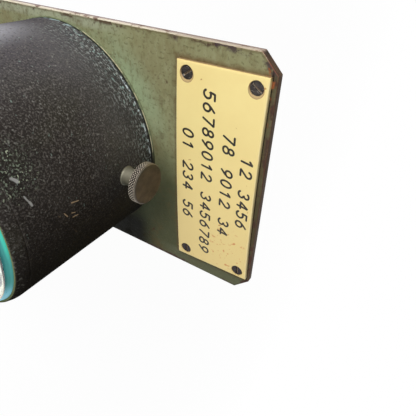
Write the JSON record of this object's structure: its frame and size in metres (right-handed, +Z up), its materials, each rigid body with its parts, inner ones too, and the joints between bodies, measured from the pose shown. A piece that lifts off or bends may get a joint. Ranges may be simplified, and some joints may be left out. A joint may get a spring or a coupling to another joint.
{
  "type": "track circuit indicator",
  "caption": "Round needle indicator on a green back plate, with a glazed slide-off case held by a knurled thumbscrew, an electromagnet movement and an engraved label plate.",
  "frame": {"origin": "on the case's axis, at the back plate's rear face", "axes": "+Z up, -Y out of the dial towards the viewer, +X to the viewer's right"},
  "size_m": [0.1016, 0.0735, 0.1481],
  "materials": {
    "plate_paint": "aged sage green enamel with rust at the edges",
    "label_ivory": "engraved ivory laminate, yellowed",
    "screw_steel": "oxidised, dark",
    "bronzed_brass": "dark bronzed, matte, with verdigris specks",
    "bare_brass": "turned, dull",
    "clear_glass": "polished, bevelled edge",
    "seal_teal": "turquoise sealing ring",
    "thumb_metal": "knurled, aged",
    "dial_enamel": "white enamel with a red zone",
    "needle_paint": "matt black",
    "soft_iron": "machined soft iron, oiled",
    "pivot_steel": "polished spindle steel",
    "winding_wire": "enamelled copper wire",
    "ebonite": "black ebonite, satin",
    "bush_rubber": "black rubber",
    "lead_cover": "red covered wire"
  },
  "bodies": {
    "base": {"back_plate": "plate_paint", "label_plate": "label_ivory", "label_screws": "screw_steel", "base_casting": "bare_brass", "base_screws": "bare_brass", "cable_bush": "bush_rubber", "dial_pillars": "bare_brass", "dial_plate": "dial_enamel", "dial_screws": "screw_steel", "yoke": "soft_iron", "pole_screws": "screw_steel", "rear_bearing": "bare_brass", "bridge_pillars": "bare_brass", "front_bridge": "bare_brass", "bridge_screws": "screw_steel", "stop_pins": "pivot_steel", "terminal_block": "ebonite", "block_screws": "screw_steel", "terminal_studs": "bare_brass", "terminal_washers": "bare_brass", "terminal_nuts": "bare_brass", "coil_link": "lead_cover", "left_coil_core": "soft_iron", "left_coil_bobbin": "ebonite", "left_winding": "winding_wire", "left_pole_shoe": "soft_iron", "left_coil_lead": "lead_cover", "right_coil_core": "soft_iron", "right_coil_bobbin": "ebonite", "right_winding": "winding_wire", "right_pole_shoe": "soft_iron", "right_coil_lead": "lead_cover"},
    "needle": {"spindle": "pivot_steel", "armature": "soft_iron", "balance_arm": "bare_brass", "balance_weight": "bare_brass", "needle_pointer": "needle_paint", "needle_boss": "bare_brass"},
    "cover": {"case_drum": "bronzed_brass", "bezel": "bronzed_brass", "window_glass": "clear_glass", "glass_seal": "seal_teal", "glass_ring": "bare_brass", "thumbscrew_boss": "thumb_metal"},
    "thumbscrew_stem": {"thumbscrew_shank": "bare_brass"},
    "thumbscrew_knob": {"thumbscrew_head": "thumb_metal"}
  },
  "joints": [
    {"name": "needle_turn", "type": "hinge", "parent": "base", "child": "needle", "pos_m": [0, 0, 0], "axis": [0, -1, 0], "range_deg": [0, 50]},
    {"name": "cover_slide", "type": "slide", "parent": "base", "child": "cover", "axis": [0, -1, 0], "range_m": [0, 0.075]},
    {"name": "thumbscrew_rise", "type": "slide", "parent": "cover", "child": "thumbscrew_stem", "axis": [0, 0, 1], "range_m": [0, 0.00325]},
    {"name": "thumbscrew_turn", "type": "hinge", "parent": "thumbscrew_stem", "child": "thumbscrew_knob", "pos_m": [0, -0.01988, 0.055], "axis": [0, 0, 1], "range_deg": [0, 1440]}
  ],
  "couplings": [
    {"joint": "thumbscrew_rise", "follows": "thumbscrew_turn", "m_per_rad": 0.00012892}
  ]
}
